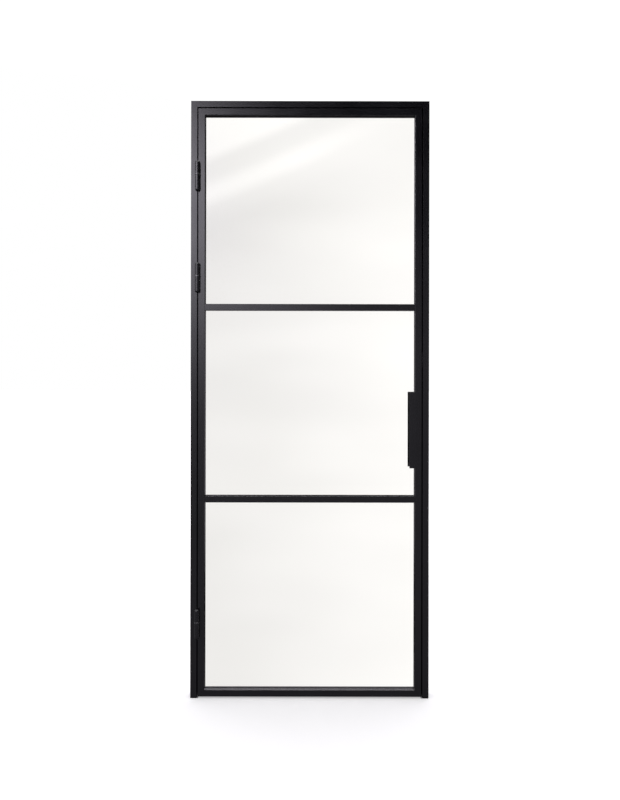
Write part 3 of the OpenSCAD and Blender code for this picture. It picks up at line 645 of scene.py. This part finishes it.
room_low, room_high, room_foot = 0.12, 0.004, 0.5
room_rise, room_bottom, room_turn = (0.06, 0.26), (-0.46, -0.34), (-0.2, 0.4)
room_height = soft_ramp(sky, up, *room_rise, room_low, room_high)
room_footing = soft_ramp(sky, up, *room_bottom, room_foot, 1.0)
room = times(sky, room_height, room_footing, soft_ramp(sky, deep, *room_turn, 1.0, back))

ceiling_slope, ceiling_brightness, ceiling_front = 0.3, 0.95, 0.2
ceiling_edge, ceiling_turn = (0.56, 0.68), (-0.1, 0.3)
ceiling_way = sums(sky, "ADD", up, times(sky, deep, ceiling_slope))
ceiling_glow = soft_ramp(sky, ceiling_way, *ceiling_edge, 0.0, ceiling_brightness)
ceiling = times(sky, ceiling_glow, soft_ramp(sky, deep, *ceiling_turn, ceiling_front, 1.0))

window_slope, window_steepness, window_brightness, window_left_share = 0.7, 3.6, 5.7, 0.55
window_edge, window_left, window_turn = (0.12, -0.06), (-0.18, -0.32), (-0.3, 0.0)
window_sill, window_head = -0.2, (0.29, 0.37)
window_way = sums(sky, "ADD", across, times(sky, up, window_slope))
window_side = soft_ramp(sky, window_way, *window_edge, 0.0, 1.0)
window_end = soft_ramp(sky, across, *window_left, 1.0, window_left_share)
window_front = soft_ramp(sky, deep, *window_turn, 1.0, 0.0)
window_height = ramp(sky, up, window_sill, window_head[0], 0.0, 1.0)
window_rise = sums(sky, "POWER", window_height, window_steepness)
window_top = soft_ramp(sky, up, *window_head, 1.0, 0.0)
window = times(sky, window_side, window_end, window_rise, window_top, window_brightness)
indoor_light = sums(sky, "ADD", room, ceiling)
reflected = sums(sky, "ADD", indoor_light, times(sky, window, window_front))

# The streaks below are painted reflections, seen only through the panes, and the window taken off the
# backdrop is painted shade that cancels the window's reflection in the glass.
streak_slope, upper_gain, lower_gain, shade_depth = 0.41, 0.15, 0.11, 0.035
streak_reach, streak_right_share = (-0.03, 0.10), 0.3
upper_rise, lower_rise, lower_fall = (0.299, 0.317), (0.246, 0.266), (0.268, 0.289)
shade_rise, shade_fall = (0.14, 0.212), (0.222, 0.25)
drift_turn, drift_stretch, drift_reach = (0, -0.4, 0), (4, 1, 14), 0.03
white_span, left_white, right_white = (-0.17, 0.17), 0.945, 1.10
window_reflection_cancel = 0.09
slant = sums(sky, "SUBTRACT", up, times(sky, across, streak_slope))
streak_fade = soft_ramp(sky, across, *streak_reach, 1.0, streak_right_share)
upper_streak = times(sky, soft_ramp(sky, slant, *upper_rise, 0.0, upper_gain), streak_fade)
lower_start = soft_ramp(sky, slant, *lower_rise, 0.0, lower_gain)
lower_streak = times(sky, lower_start, soft_ramp(sky, slant, *lower_fall, 1.0, 0.0), streak_fade)
shade_start = soft_ramp(sky, slant, *shade_rise, 0.0, shade_depth)
shade = times(sky, shade_start, soft_ramp(sky, slant, *shade_fall, 1.0, 0.0))
painted_reflection_streaks = sums(sky, "SUBTRACT", sums(sky, "ADD", upper_streak, lower_streak), shade)
drift_inputs = {"Vector": direction, "Rotation": drift_turn, "Scale": drift_stretch}
drift_coords = node(sky, "ShaderNodeMapping", drift_inputs).outputs[0]
drift = spread(sky, noise(sky, drift_coords, 1, 1), -drift_reach, drift_reach)
white = soft_ramp(sky, across, *white_span, left_white, right_white)
streaked_white = sums(sky, "ADD", white, sums(sky, "ADD", painted_reflection_streaks, drift))
backdrop = sums(sky, "SUBTRACT", streaked_white, times(sky, window, window_reflection_cancel))

cool_light = (1.0, 0.96, 1.07)
rays = sky.nodes.new("ShaderNodeLightPath").outputs
bounces = sums(sky, "ADD", rays["Glossy Depth"], rays["Diffuse Depth"])
through_glass = times(sky, rays["Is Transmission Ray"], sums(sky, "LESS_THAN", bounces, 0.5))
seen = sums(sky, "MAXIMUM", rays["Is Camera Ray"], through_glass)
shown = sums(sky, "MAXIMUM", rays["Is Camera Ray"], backdrop)
cooled = node(sky, "ShaderNodeVectorMath", {0: reflected, 1: cool_light}, operation="MULTIPLY")
studio_mix = {0: seen, 6: cooled.outputs["Vector"], 7: shown}
studio_light = node(sky, "ShaderNodeMix", studio_mix, data_type="RGBA").outputs[2]
sky.links.new(studio_light, sky.nodes["Background"].inputs["Color"])
